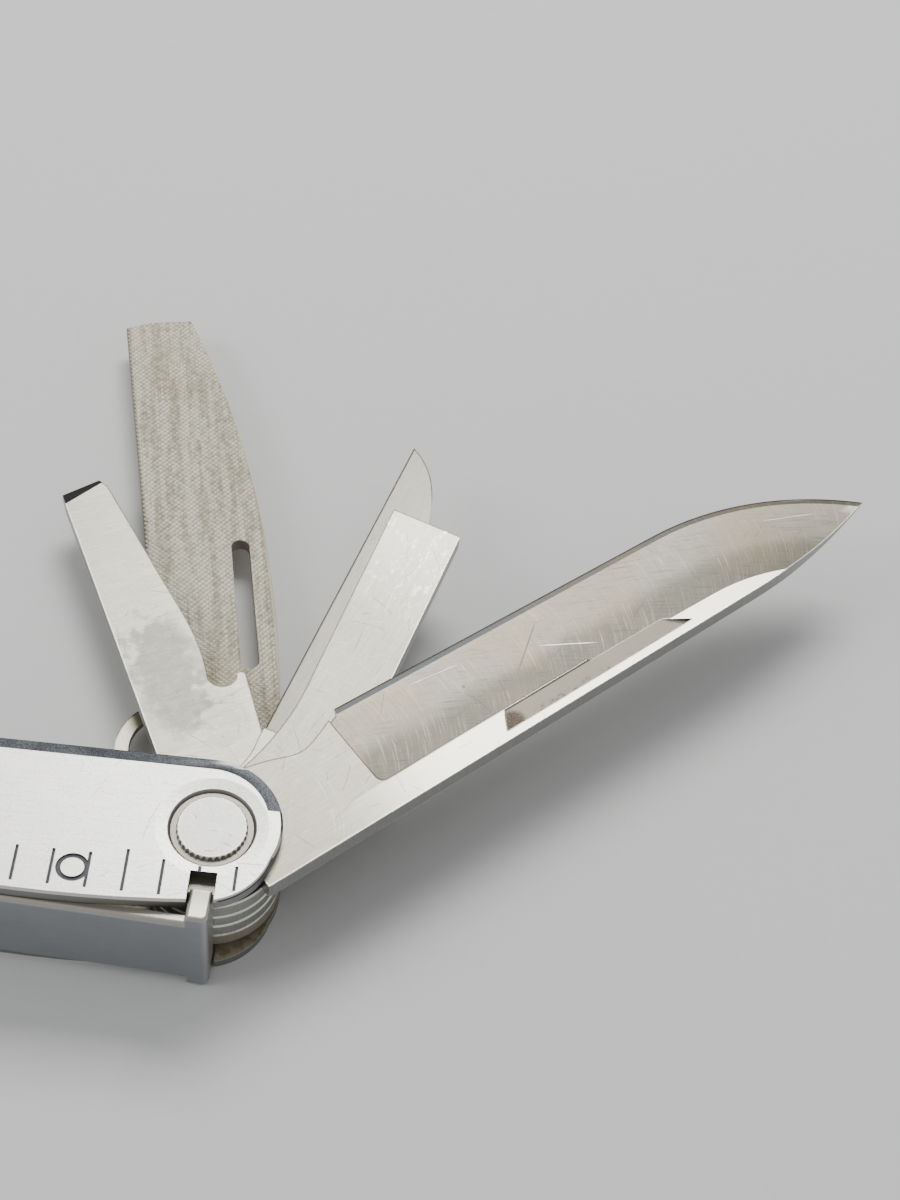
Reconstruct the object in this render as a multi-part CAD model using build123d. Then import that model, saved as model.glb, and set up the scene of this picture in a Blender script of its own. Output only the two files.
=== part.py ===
from build123d import *
import math
import os

# Folding multi-tool: six flat tools in one channel-shaped handle, all turning on one pivot.
# It lies on its side. The origin is on the pivot axis, on the outer face of the lower side wall.
# +X points along the handle towards the tool end, +Y out of the channel's mouth, +Z up.

# Handle channel
wall = 1.25
pivot_spacing = 88.9
mouth_edge = 7.1
back_edge = 7.7
nose_radius = 6.85
nose_centre_x = -0.65
nose_heel_from = -25.0
nose_heel_bulge = 0.85
nose_back_x = 1.3
nose_back_inset = 0.45
back_belly = 0.3
back_belly_x = -9.5
belly_start_x = -22.0
far_overhang = 6.5
far_corner_radius = 6.0
web_end_x = -37.0
fold_radius = 1.2
bevel_width = 1.2
bevel_depth = 0.35
bevel_stop_y = 2.2
rim_break = 0.2

# Knurled pivot heads and the coined dishes that they sit in
head_radius = 3.17
head_height = 0.45
head_chamfer = 0.15
knurl_teeth = 36
knurl_depth = 0.18
dish_radius = 3.68
dish_lip_radius = 5.0
dish_lip_depth = 0.1
dish_wall_slope = 0.25
barrel_radius = 2.0
stud_radius = 1.2
stud_end_gap = 0.6
seat_clearance = 0.01
running_clearance = 0.03
spacer_radius = 3.2

# Ruler cut into the upper side wall
ruler_pitch = 3.175
ruler_zero_x = -6.86
ticks_right_of_zero = 3
ruler_end_margin = 0.5
ticks_per_inch = 8
tick_width = 0.25
ruler_depth = 0.18
tick_foot_inset = 0.55
tick_length = 3.45
inch_tick_length = 4.1
short_tick_foot_inset = 1.6
digit_offset_x = -4.5
digit_inset = 2.35
digit_width = 2.9
digit_height = 2.7
digit_stroke = 0.42

# Lock spring: a strip along the back, with a cross head that drops into the tangs
spring_thickness = 1.0
spring_side_clearance = 0.1
spring_inset = 0.1
flex_x = -34.0
flex_gap = 0.1
root_end_x = -47.0
root_step_end_x = -36.5
cross_head_left_x = -1.15
cross_head_right_x = 0.85
cross_head_face_clearance = 0.1
cross_head_corner_radius = 0.6
cross_head_end_radius = 0.35
cross_head_overlap = 0.1
root_step_outer_x = -35.6
root_step_inner_x = -36.8
strip_edge_radius = 0.45
head_notch_clearance = 0.12
head_swing_clearance = 0.22
lock_depth = 1.55
ride_clearance = 0.07
rivet_radius = 0.9
rivet_head_radius = 1.6
rivet_head_height = 0.45
rivet_head_round = 0.36
rivet_x = -43.5
rivet_spacing = 4.9

# Tool tangs and the order of the stack, from the lower wall up
tang_radius = 6.2
tang_rim_break = 0.14
washer_notch_clearance = 0.1
washer_thickness = 0.1
notch_floor_clearance = 0.15
notch_side_clearance = 0.15
shoulder_clearance = 0.3
layer_gap = 0.029
ring_thickness = 0.8
file_thickness = 1.7
lifter_thickness = 1.6
pen_thickness = 1.55
driver_thickness = 1.75
knife_thickness = 1.95

# How far each tool stands from fully open
knife_angle = 41.2
driver_angle = 70.0
pen_angle = 72.0
lifter_angle = 111.0
file_angle = 101.0
ring_angle = 113.0

# Main blade
knife_back = 7.2
knife_tip = (77.6, -4.7)
knife_spine_end_x = 60.0
knife_edge_start = (17.0, 5.2)
knife_belly_start = (56.0, 4.15)
knife_plunge_x = 15.5
knife_grind_width = 9.4
knife_grind_hollow = 0.12
knife_edge_bevel = 0.7
knife_bevel_half_thickness = 0.16
edge_half_thickness = 0.03
groove_left_x = 28.6
groove_right_x = 51.9
groove_low_y = -6.3
groove_high_y = -4.3
groove_depth = 0.5

# Pen blade
pen_tip = (53.6, 2.2)
pen_edge_start = (13.0, 1.6)
pen_plunge_x = 14.5
pen_grind_width = 5.2

# Flat driver
driver_length = 42.85
driver_back = 7.1

# Cap lifter with a driver tip
lifter_tip_length = 1.5
lifter_tip_skew = 12.0
lifter_tip_half_thickness = 0.35
lifter_mouth_radius = 1.3
lifter_mouth_centre = (20.16, -5.61)

# File
slot_left_x = 22.7
slot_right_x = 38.8
slot_y = -5.05
slot_width = 1.85
tooth_pitch = 0.58
tooth_height = 0.15
edge_tooth_depth = 0.25
teeth_start_x = 10.5

# Lanyard ring
ring_centre_x = 15.45
ring_outer_radius = 5.3
ring_hole_radius = 3.95
ring_hub_radius = 5.0
ring_neck_width = 5.4

tool_thicknesses = (
    ring_thickness, file_thickness, lifter_thickness, pen_thickness, driver_thickness, knife_thickness)
washer_count = len(tool_thicknesses) - 1
layer_count = len(tool_thicknesses) + washer_count
inner_gap = sum(tool_thicknesses) + washer_count * washer_thickness + (layer_count + 1) * layer_gap
inner_low = wall
inner_high = wall + inner_gap
handle_thickness = inner_gap + 2 * wall
spring_flush_y = spring_inset - back_edge
cross_head_inner_y = lock_depth - tang_radius
notch_floor_y = cross_head_inner_y + notch_floor_clearance
shoulder_x = cross_head_right_x + shoulder_clearance
washer_radius = -notch_floor_y - washer_notch_clearance
far_end_x = -pivot_spacing - far_overhang
ruler_length = pivot_spacing + ruler_zero_x - dish_lip_radius - ruler_end_margin
ticks_left_of_zero = int(ruler_length / ruler_pitch)


def slab(outline, thickness, z=0.0):
    """A flat plate of the given outline, standing on height z."""
    return Pos(0, 0, z) * extrude(outline, amount=thickness)


def block(x_range, y_range, z_range):
    """A box between the given coordinates."""
    size = [high - low for low, high in (x_range, y_range, z_range)]
    middle = [(high + low) / 2 for low, high in (x_range, y_range, z_range)]
    return Pos(*middle) * Box(*size)


def upright_cylinder(radius, z_low, z_high, x=0.0, y=0.0):
    """A cylinder on a vertical axis."""
    return Pos(x, y, (z_low + z_high) / 2) * Cylinder(radius, z_high - z_low)


# ---------------------------------------------------------------- handle channel

def wall_outline():
    """The side wall's outline: straight mouth edge, round nose, slightly bellied back."""
    cx, cy = nose_centre_x, mouth_edge - nose_radius
    nose_back_y = nose_back_inset - back_edge
    belly_y = -back_edge - back_belly
    top_of_nose = (cx, cy + nose_radius)
    turn = math.radians(nose_heel_from)
    nose_low = (cx + nose_radius * math.cos(turn), cy + nose_radius * math.sin(turn))
    nose_mid_angle = math.radians((90 + nose_heel_from) / 2)
    nose_mid = (cx + nose_radius * math.cos(nose_mid_angle), cy + nose_radius * math.sin(nose_mid_angle))
    heel = Vector(nose_back_x - nose_low[0], nose_back_y - nose_low[1])
    heel_out = Vector(-heel.Y, heel.X).normalized() * nose_heel_bulge
    heel_mid = Vector(*nose_low) + heel / 2 + heel_out
    far_top = (far_end_x, top_of_nose[1])
    far_low = (far_end_x, -back_edge)
    edges = [
        Line(far_top, top_of_nose),
        ThreePointArc(top_of_nose, nose_mid, nose_low),
        ThreePointArc(nose_low, heel_mid, (nose_back_x, nose_back_y)),
        ThreePointArc((nose_back_x, nose_back_y), (back_belly_x, belly_y), (belly_start_x, -back_edge)),
        Line((belly_start_x, -back_edge), far_low),
        Line(far_low, far_top),
    ]
    outline = make_face(edges)
    far_corners = outline.vertices().sort_by(Axis.X)[:2]
    return fillet(far_corners, far_corner_radius)


def edge_break(outline, width, depth):
    """What is cut away to slope the outer edge of a wall whose outer face is at height 0."""
    sloped = loft([Pos(0, 0, -depth) * outline, offset(outline, amount=-width)], ruled=True)
    return slab(outline, depth, -depth) - sloped


def dish(x):
    """The coined recess round a pivot head: a steep wall, then a shallow lip."""
    lip = Pos(x, 0, -dish_lip_depth / 2) * Cone(dish_radius + dish_wall_slope, dish_lip_radius, dish_lip_depth)
    seat_height = head_height - dish_lip_depth
    seat = Cone(dish_radius, dish_radius + dish_wall_slope, seat_height)
    return lip + Pos(x, 0, -dish_lip_depth - seat_height / 2) * seat


def side_wall():
    """One side wall with its outer face up, at height 0, and its inner face at -wall."""
    outline = wall_outline()
    plate = slab(outline, wall, -wall)
    bevel = edge_break(outline, bevel_width, bevel_depth)
    bevel &= block((far_end_x - 1, nose_radius + 1), (bevel_stop_y, mouth_edge + 1), (-wall, 1))
    plate -= [bevel, edge_break(outline, rim_break, rim_break)]
    for x in (0.0, -pivot_spacing):
        plate -= dish(x)
        plate -= upright_cylinder(barrel_radius + seat_clearance, -2 * wall, wall, x)
    notch_left = cross_head_left_x - head_notch_clearance
    notch_right = cross_head_right_x + head_swing_clearance
    plate -= block((notch_left, notch_right), (-2 * back_edge, notch_floor_y), (-2 * wall, wall))
    return plate


def digit_lines(number):
    """Pen strokes of a digit of unit height and width about its own centre."""
    if number == 1:
        return Polyline((-0.22, 0.28), (0.05, 0.48), (0.05, -0.48))
    bowl = CenterArc((0, 0.2), 0.28, -40, 200)
    return bowl + Polyline(bowl @ 0, (-0.3, -0.48), (0.34, -0.48))


def ruler_cuts():
    """The ruler's lines and digits, to be cut down from height 0."""
    cuts = []
    for count in range(-ticks_right_of_zero, ticks_left_of_zero + 1):
        x = ruler_zero_x - ruler_pitch * count
        long_foot = tick_foot_inset - back_edge
        foot = long_foot if x < 0 else short_tick_foot_inset - back_edge
        top = long_foot + (tick_length if count % ticks_per_inch else inch_tick_length)
        span = (x - tick_width / 2, x + tick_width / 2)
        cuts.append(block(span, (foot, top), (-ruler_depth, 1)))
    digit_y = digit_inset - back_edge
    ring = Ellipse(digit_width / 2, digit_height / 2)
    ring -= Ellipse(digit_width / 2 - digit_stroke, digit_height / 2 - digit_stroke)
    cuts.append(Pos(ruler_zero_x + digit_offset_x, digit_y, 0) * slab(ring, 1, -ruler_depth))
    for number in range(1, ticks_left_of_zero // ticks_per_inch):
        x = ruler_zero_x + digit_offset_x - ruler_pitch * ticks_per_inch * number
        strokes = trace(scale(digit_lines(number), by=digit_height), line_width=digit_stroke)
        place = Pos(x, digit_y, 0) * Rot(0, 0, 180)
        cuts.append(place * slab(strokes, 1, -ruler_depth))
    return cuts


def handle_channel():
    """The folded channel: two side walls and the web along the back."""
    upper = Pos(0, 0, handle_thickness) * (side_wall() - ruler_cuts())
    lower = mirror(side_wall(), about=Plane.XY)
    web = block((-pivot_spacing, web_end_x), (-back_edge, wall - back_edge), (0, handle_thickness))
    channel = upper + lower + web
    for z, inward in ((0, 1), (handle_thickness, -1)):
        z_range = sorted((z, z + inward * fold_radius))
        corner = block((far_end_x, web_end_x), (-back_edge - 0.5, fold_radius - back_edge), z_range)
        core = Rot(0, 90, 0) * Cylinder(fold_radius, 3 * pivot_spacing)
        corner -= Pos(0, fold_radius - back_edge, z + inward * fold_radius) * core
        channel -= corner
    rivet_hole = Rot(90, 0, 0) * Cylinder(rivet_radius + seat_clearance, 4 * wall)
    for z in rivet_heights():
        channel -= Pos(rivet_x, -back_edge, z) * rivet_hole
    return channel


# ---------------------------------------------------------------- pivots

def knurled_head():
    """A flat head with a serrated rim, standing on height 0 with its chamfer upwards."""
    corners = []
    for step in range(2 * knurl_teeth):
        radius = head_radius - knurl_depth * (step % 2)
        turn = math.pi * step / knurl_teeth
        corners.append((radius * math.cos(turn), radius * math.sin(turn)))
    blank = upright_cylinder(head_radius, 0, head_height)
    rim = blank.edges().filter_by(GeomType.CIRCLE).sort_by(Axis.Z)[-1]
    return chamfer(rim, head_chamfer) & slab(make_face(Polyline(*corners, close=True)), head_height)


def pivot_barrel(x):
    """Upper head and hollow barrel of one pivot."""
    head = Pos(x, 0, handle_thickness - head_height) * knurled_head()
    tube = upright_cylinder(barrel_radius, head_height, handle_thickness - head_height, x)
    bore_top = handle_thickness - head_height - stud_end_gap
    return head + tube - upright_cylinder(stud_radius + seat_clearance, 0, bore_top, x)


def pivot_stud(x):
    """Lower head and the stud pressed up into the barrel."""
    head = Pos(x, 0, head_height) * Rot(180, 0, 0) * knurled_head()
    stud_top = handle_thickness - head_height - 2 * stud_end_gap
    return head + upright_cylinder(stud_radius, 0, stud_top, x)


def end_spacer():
    """Tube that keeps the side walls apart at the far pivot."""
    tube = upright_cylinder(spacer_radius, inner_low, inner_high, -pivot_spacing)
    return tube - upright_cylinder(barrel_radius + seat_clearance, 0, handle_thickness, -pivot_spacing)


def washer():
    """Thin washer between two tangs."""
    return upright_cylinder(washer_radius, 0, washer_thickness) - upright_cylinder(
        barrel_radius + seat_clearance, -1, 1)


# ---------------------------------------------------------------- lock spring

def rivet_heights():
    """Heights of the two rivets that hold the lock spring's root."""
    middle = handle_thickness / 2
    return (middle - rivet_spacing / 2, middle + rivet_spacing / 2)


def spring_z_range():
    """The strip's height range between the side walls."""
    return (inner_low + spring_side_clearance, inner_high - spring_side_clearance)


def lock_spring_root():
    """The strip's fixed end: riveted inside the web, then stepped out flush with the back."""
    z_low, z_high = spring_z_range()
    web_inner = wall - back_edge
    panel_inner = spring_flush_y + spring_thickness
    strip_end = flex_x - flex_gap / 2
    corners = [
        (root_end_x, web_inner),
        (root_step_end_x, web_inner),
        (flex_x - spring_thickness, spring_flush_y),
        (strip_end, spring_flush_y),
        (strip_end, panel_inner),
        (root_step_outer_x, panel_inner),
        (root_step_inner_x, web_inner + spring_thickness),
        (root_end_x, web_inner + spring_thickness),
    ]
    strip = slab(make_face(Polyline(*corners, close=True)), z_high - z_low, z_low)
    hole = Rot(90, 0, 0) * Cylinder(rivet_radius + seat_clearance, 6 * wall)
    return strip - [Pos(rivet_x, web_inner, z) * hole for z in rivet_heights()]


def spring_rivets():
    """Two rivets through the web and the strip's root, with low round heads outside."""
    rivets = []
    inner_end = wall - back_edge + spring_thickness
    for z in rivet_heights():
        length = inner_end + back_edge
        shank = Pos(rivet_x, inner_end - length / 2, z) * Rot(90, 0, 0) * Cylinder(rivet_radius, length)
        head = Rot(90, 0, 0) * Cylinder(rivet_head_radius, rivet_head_height)
        outer_rim = head.edges().filter_by(GeomType.CIRCLE).sort_by(Axis.Y)[0]
        head = fillet(outer_rim, rivet_head_round)
        rivets.append(shank + Pos(rivet_x, -back_edge - rivet_head_height / 2, z) * head)
    return Compound(rivets)


def lock_spring():
    """The free part of the strip and its cross head, lifted so that the head rides on the tangs."""
    z_low, z_high = spring_z_range()
    panel = block(
        (flex_x + flex_gap / 2, cross_head_left_x + cross_head_overlap),
        (spring_flush_y, spring_flush_y + spring_thickness),
        (z_low, z_high),
    )
    panel_edges = panel.edges().filter_by(Axis.X).group_by(Axis.Y)[0]
    panel = fillet(panel_edges, strip_edge_radius)
    cross_head = block(
        (cross_head_left_x, cross_head_right_x),
        (spring_flush_y, cross_head_inner_y),
        (cross_head_face_clearance, handle_thickness - cross_head_face_clearance),
    )
    outer_corner = cross_head.edges().filter_by(Axis.Z).group_by(Axis.Y)[0].sort_by(Axis.X)[-1]
    cross_head = fillet(outer_corner, cross_head_corner_radius)
    cross_head = fillet(cross_head.edges().filter_by(Axis.Y), cross_head_end_radius)
    spring = panel + cross_head
    hinge = Pos(flex_x, spring_flush_y + spring_thickness / 2, 0)
    lift = math.degrees(math.asin((lock_depth + ride_clearance) / -flex_x))
    return hinge * Rot(0, 0, -lift) * hinge.inverse() * spring


# ---------------------------------------------------------------- tools
# Each tool is drawn fully open, pointing along +X, with its back towards -Y.

def with_tang(outline, thickness):
    """A tool plate with its round tang, pivot hole and the two notches for the lock head."""
    tang = upright_cylinder(tang_radius, 0, thickness)
    plate = chamfer(tang.edges().filter_by(GeomType.CIRCLE), tang_rim_break) + slab(outline, thickness)
    plate -= upright_cylinder(barrel_radius + running_clearance, -1, thickness + 1)
    left = cross_head_left_x - notch_side_clearance
    notch = block((left, shoulder_x), (-2 * tang_radius, notch_floor_y), (-1, thickness + 1))
    return plate - [notch, Rot(0, 0, 180) * notch]


def edge_face(start, belly_start, tip, inset, z):
    """A wide face whose front follows the cutting edge at the given inset, at height z."""
    along = Vector(belly_start[0] - start[0], belly_start[1] - start[1]).normalized()
    inward = Vector(along.Y, -along.X)
    reach = Vector(tip[0] - belly_start[0], tip[1] - belly_start[1])
    radius = reach.dot(reach) / (2 * reach.dot(inward))
    centre = Vector(*belly_start) + inward * radius
    sweep = math.radians(75)
    first = Vector(*start) - along * 8 + inward * inset
    second = Vector(*belly_start) + inward * inset

    def round_belly(turn):
        direction = along * math.sin(turn) - inward * math.cos(turn)
        return centre + direction * (radius - inset)

    far_low = (tip[0] + 15, tip[1] - 60)
    edges = [
        Line(first, second),
        ThreePointArc(second, round_belly(sweep / 2), round_belly(sweep)),
        Line(round_belly(sweep), far_low),
        Line(far_low, (start[0] - 8, far_low[1])),
        Line((start[0] - 8, far_low[1]), first),
    ]
    return Pos(0, 0, z) * make_face(edges)


def hollow_ground(start, belly_start, tip, thickness, width):
    """The space that a blade with hollow-ground sides and a sharpened edge may fill."""
    half = thickness / 2
    bevel_z = knife_bevel_half_thickness
    middle_inset = (knife_edge_bevel + width) / 2
    middle_z = (bevel_z + half) / 2 - knife_grind_hollow
    keen = edge_face(start, belly_start, tip, 0, edge_half_thickness)
    bevelled = edge_face(start, belly_start, tip, knife_edge_bevel, bevel_z)
    middle = edge_face(start, belly_start, tip, middle_inset, middle_z)
    full = edge_face(start, belly_start, tip, width, half)
    upper = extrude(keen, amount=-edge_half_thickness)
    upper += loft([keen, bevelled], ruled=True)
    upper += loft([bevelled, middle, full])
    return upper + mirror(upper, about=Plane.XY)


def main_blade():
    """Clip-shaped main blade with a deep hollow grind and a long nail groove."""
    spine = Line((shoulder_x, -knife_back), (knife_spine_end_x, -knife_back))
    edges = [
        spine,
        TangentArc(spine @ 1, knife_tip, tangent=(1, 0)),
        TangentArc(knife_belly_start, knife_tip, tangent=Vector(*knife_belly_start) - Vector(*knife_edge_start)),
        Line(knife_belly_start, knife_edge_start),
        Line(knife_edge_start, (16.7, 4.45)),
        Spline((16.7, 4.45), (13.6, 3.2), (11.4, 2.65), (8.7, 3.45), (6.5, 4.05), (4.0, 4.7)),
        Line((4.0, 4.7), (shoulder_x, 0)),
        Line((shoulder_x, 0), (shoulder_x, -knife_back)),
    ]
    plate = with_tang(make_face(edges), knife_thickness)
    half = knife_thickness / 2
    zone_low = knife_edge_start[1] - knife_grind_width
    zone = Polyline(
        (knife_plunge_x, 20), (knife_plunge_x, zone_low), (40, zone_low), (60, -20), (90, -20), (90, 20),
        close=True,
    )
    zone = make_face(zone)
    plunge_corner = zone.vertices().sort_by_distance((knife_plunge_x, zone_low))[0]
    zone = fillet(plunge_corner, 0.8)
    ground = hollow_ground(knife_edge_start, knife_belly_start, knife_tip, knife_thickness, knife_grind_width)
    ground = Pos(0, 0, half) * ground
    plate -= slab(zone, knife_thickness + 2, -1) - ground
    section = Polyline(
        (groove_low_y, -groove_depth), (groove_high_y, 0), (groove_high_y, 1), (groove_low_y, 1), close=True)
    wedge = Pos(0, 0, knife_thickness) * extrude(Plane.YZ * make_face(section), amount=100, both=True)
    groove = Polyline(
        (groove_left_x, groove_low_y), (groove_right_x, groove_low_y),
        (groove_right_x - 3.2, groove_high_y), (groove_left_x + 1.2, groove_high_y), close=True,
    )
    return plate - (wedge & slab(make_face(groove), 3, knife_thickness - 1))


def pen_blade():
    """Small sheepsfoot blade: straight edge, spine curving down to the point."""
    edges = [
        Line(pen_edge_start, pen_tip),
        Spline(pen_tip, (50.1, -1.08), (44.6, -3.16), (36.0, -4.9)),
        Line((36.0, -4.9), (shoulder_x, -tang_radius + 0.15)),
        Line((shoulder_x, -tang_radius + 0.15), (shoulder_x, 0)),
        Line((shoulder_x, 0), (4.0, 4.5)),
        Spline((4.0, 4.5), (7.0, 2.9), (10.0, 1.75), pen_edge_start),
    ]
    plate = with_tang(make_face(edges), pen_thickness)
    half = pen_thickness / 2
    along = Vector(*pen_tip) - Vector(*pen_edge_start)
    beyond = Vector(*pen_tip) + along * 0.2
    before = Vector(*pen_edge_start)
    sections = []
    for inset, z in ((0, edge_half_thickness), (pen_grind_width, half)):
        low = before.Y - inset
        corners = [(before.X, low), (beyond.X, beyond.Y - inset), (beyond.X, -20), (before.X, -20)]
        sections.append(Pos(0, 0, z) * make_face(Polyline(*corners, close=True)))
    upper = extrude(sections[0], amount=-edge_half_thickness) + loft(sections, ruled=True)
    ground = Pos(0, 0, half) * (upper + mirror(upper, about=Plane.XY))
    zone = block((pen_plunge_x, 60), (pen_edge_start[1] - pen_grind_width, 20), (-1, pen_thickness + 1))
    zone += block((45, 60), (-20, 20), (-1, pen_thickness + 1))
    return plate - (zone - ground)


def flat_driver():
    """Broad flat driver: a straight bar, slightly canted, with a square end."""
    edges = [
        Polyline(
            (4.0, 4.4), (shoulder_x, 0), (shoulder_x, -tang_radius + 0.1), (5.0, -driver_back),
            (14.0, -driver_back), (24.5, -6.73), (driver_length - 0.1, -5.7), (driver_length, 1.75), (23.0, 0.35),
        ),
        Spline((23.0, 0.35), (17.6, 0.0), (13.8, 0.2), (9.0, 1.2), (4.0, 4.4), tangents=[(-1, -0.07), (-0.5, 1)]),
    ]
    plate = with_tang(make_face(edges), driver_thickness)
    end = plate.edges().filter_by(Axis.Z).sort_by(Axis.X)[-2:]
    return fillet(end, 0.15)


def cap_lifter():
    """Cap lifter: hooked mouth on the back edge, and a ground screwdriver tip."""
    mouth_x, mouth_y = lifter_mouth_centre
    tip_corners = [(46.07, 4.87), (47.0, 0.89)]
    edges = [
        Polyline(
            (4.0, 4.4), (shoulder_x, 0), (shoulder_x, -tang_radius + 0.1), (6.0, -7.6), (13.0, -7.9),
            (19.5, -7.98),
        ),
        ThreePointArc((19.5, -7.98), (20.05, -7.8), (20.1, -7.2)),
        ThreePointArc((20.1, -7.2), (mouth_x - lifter_mouth_radius, mouth_y), (20.16, -4.31)),
        Spline((20.16, -4.31), (24.1, -4.34), (32.3, -2.79), (40.7, -0.96), (45.86, 0.19)),
        Polyline((45.86, 0.19), tip_corners[1], tip_corners[0], (44.36, 4.83), (28.0, 3.5), (13.1, 2.31)),
        Spline((13.1, 2.31), (8.0, 2.6), (4.0, 4.4)),
    ]
    plate = with_tang(make_face(edges), lifter_thickness)
    along_tip = Vector(tip_corners[1][0] - tip_corners[0][0], tip_corners[1][1] - tip_corners[0][1])
    lean = math.degrees(math.atan2(along_tip.X, -along_tip.Y)) + lifter_tip_skew
    drop = lifter_thickness / 2 - lifter_tip_half_thickness
    fall = -4 * drop / lifter_tip_length
    wedge = Polyline((0, 0), (4, fall), (4, 3), (0, 3), close=True)
    wedge = extrude(Plane.XZ * make_face(wedge), amount=20, both=True)
    root = (tip_corners[0][0] - lifter_tip_length, tip_corners[0][1], lifter_thickness)
    facet = Pos(*root) * Rot(0, 0, lean) * wedge
    lower_facet = Pos(0, 0, lifter_thickness) * mirror(facet, about=Plane.XY)
    return plate - [facet, lower_facet]


def saw_edge(start, end):
    """Corners of a saw-toothed line from start to end, with its points on the line."""
    start, end = Vector(*start), Vector(*end)
    teeth = round((end - start).length / tooth_pitch)
    step = (end - start) / teeth
    inward = Vector(-step.Y, step.X).normalized() * edge_tooth_depth
    corners = []
    for tooth in range(teeth):
        corners += [start + step * tooth, start + step * (tooth + 0.75) + inward]
    return corners + [end]


def file_blade():
    """Double-cut file with a saw-toothed front edge and a long slot beside its back."""
    edges = [
        Polyline((4.0, 4.6), (shoulder_x, 0), (shoulder_x, -tang_radius + 0.1), (8.0, -7.2), (19.2, -7.65)),
        ThreePointArc((19.2, -7.65), (46.0, -6.95), (70.3, -1.65)),
        Polyline((70.3, -1.65), (70.2, 2.8), (69.5, 5.5)),
        Polyline(*saw_edge((69.5, 5.5), (40.5, 4.65)), *saw_edge((40.5, 4.65), (teeth_start_x, 4.6))[1:]),
        Line((teeth_start_x, 4.6), (4.0, 4.6)),
    ]
    plate = with_tang(make_face(edges), file_thickness)
    for z in (0, file_thickness):
        plate -= block((teeth_start_x, 80), (-10, 10), (z - tooth_height, z + tooth_height))
    slot = SlotCenterToCenter(slot_right_x - slot_left_x - slot_width, slot_width)
    plate -= Pos((slot_left_x + slot_right_x) / 2, slot_y, 0) * slab(slot, file_thickness + 2, -1)
    return plate


def lanyard_ring():
    """Flat lanyard ring on its own small tang."""
    neck = Pos(ring_centre_x / 2, 0) * Rectangle(ring_centre_x, ring_neck_width)
    outline = Circle(ring_hub_radius) + neck + Pos(ring_centre_x, 0) * Circle(ring_outer_radius)
    inner_corners = [v for v in outline.vertices() if abs(abs(v.Y) - ring_neck_width / 2) < 0.01]
    outline = fillet(inner_corners, 1.5)
    plate = slab(outline, ring_thickness)
    plate -= upright_cylinder(ring_hole_radius, -1, 2, ring_centre_x)
    return plate - upright_cylinder(barrel_radius + running_clearance, -1, 2)


# ---------------------------------------------------------------- assembly

def build():
    """Every node by name, with the tools in the stack at their part-open angles."""
    nodes = {
        "handle_channel": handle_channel(),
        "pivot_barrel": pivot_barrel(0),
        "pivot_stud": pivot_stud(0),
        "end_barrel": pivot_barrel(-pivot_spacing),
        "end_stud": pivot_stud(-pivot_spacing),
        "end_spacer": end_spacer(),
        "lock_spring": lock_spring(),
        "lock_spring_root": lock_spring_root(),
        "spring_rivets": spring_rivets(),
    }
    stack = [
        ("lanyard_ring", lanyard_ring(), ring_angle),
        ("file_blade", file_blade(), file_angle),
        ("cap_lifter", cap_lifter(), lifter_angle),
        ("pen_blade", pen_blade(), pen_angle),
        ("flat_driver", flat_driver(), driver_angle),
        ("main_blade", main_blade(), knife_angle),
    ]
    z = inner_low + layer_gap
    for count, ((name, tool, angle), thickness) in enumerate(zip(stack, tool_thicknesses), start=1):
        nodes[name] = Pos(0, 0, z) * Rot(0, 0, angle) * tool
        z += thickness + layer_gap
        if count <= washer_count:
            nodes[f"pivot_washer_{count}"] = Pos(0, 0, z) * washer()
            z += washer_thickness + layer_gap
    return nodes


os.makedirs("parts", exist_ok=True)
for node_name, shape in build().items():
    export_step(shape, f"parts/{node_name}.step")
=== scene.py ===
import math
import bmesh
import bpy
from mathutils import Matrix, Vector


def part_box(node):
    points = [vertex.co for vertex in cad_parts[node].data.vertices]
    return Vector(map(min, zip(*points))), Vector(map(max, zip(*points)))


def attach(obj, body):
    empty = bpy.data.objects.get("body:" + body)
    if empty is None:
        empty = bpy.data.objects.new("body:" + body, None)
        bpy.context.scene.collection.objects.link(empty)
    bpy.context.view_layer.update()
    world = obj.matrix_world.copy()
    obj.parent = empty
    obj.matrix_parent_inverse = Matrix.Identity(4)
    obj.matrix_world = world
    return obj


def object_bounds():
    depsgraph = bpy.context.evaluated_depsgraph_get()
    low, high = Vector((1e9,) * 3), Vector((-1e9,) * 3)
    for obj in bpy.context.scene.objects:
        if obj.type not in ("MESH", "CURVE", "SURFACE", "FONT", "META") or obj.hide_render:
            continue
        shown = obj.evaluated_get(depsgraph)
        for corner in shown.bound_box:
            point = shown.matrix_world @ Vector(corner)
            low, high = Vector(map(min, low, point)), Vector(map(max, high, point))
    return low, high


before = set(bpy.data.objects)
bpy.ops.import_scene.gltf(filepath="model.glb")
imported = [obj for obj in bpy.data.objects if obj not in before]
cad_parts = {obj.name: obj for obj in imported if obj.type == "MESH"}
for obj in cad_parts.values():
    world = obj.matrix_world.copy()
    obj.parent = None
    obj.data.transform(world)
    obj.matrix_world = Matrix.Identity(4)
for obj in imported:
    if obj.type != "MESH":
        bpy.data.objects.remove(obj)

cad_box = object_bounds()

# A folding multi-tool lying on its side, with its six tools fanned out.
# Everything is in metres; the finishes work in millimetres.
MM = 0.001


# ---------------------------------------------------------------- camera

camera_data = bpy.data.cameras.new("camera")
camera_data.lens = 60
camera_data.clip_start = 0.005
camera_data.clip_end = 20
camera = bpy.data.objects.new("camera", camera_data)
camera.location = (0.012482, -0.088497, 0.167015)
camera.rotation_euler = Matrix((
    (0.99376, -0.10579, -0.03524),
    (0.06352, 0.79690, -0.60076),
    (0.09164, 0.59478, 0.79865),
)).to_euler()
bpy.context.scene.collection.objects.link(camera)
bpy.context.scene.camera = camera


# ---------------------------------------------------------------- shader maths

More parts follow.
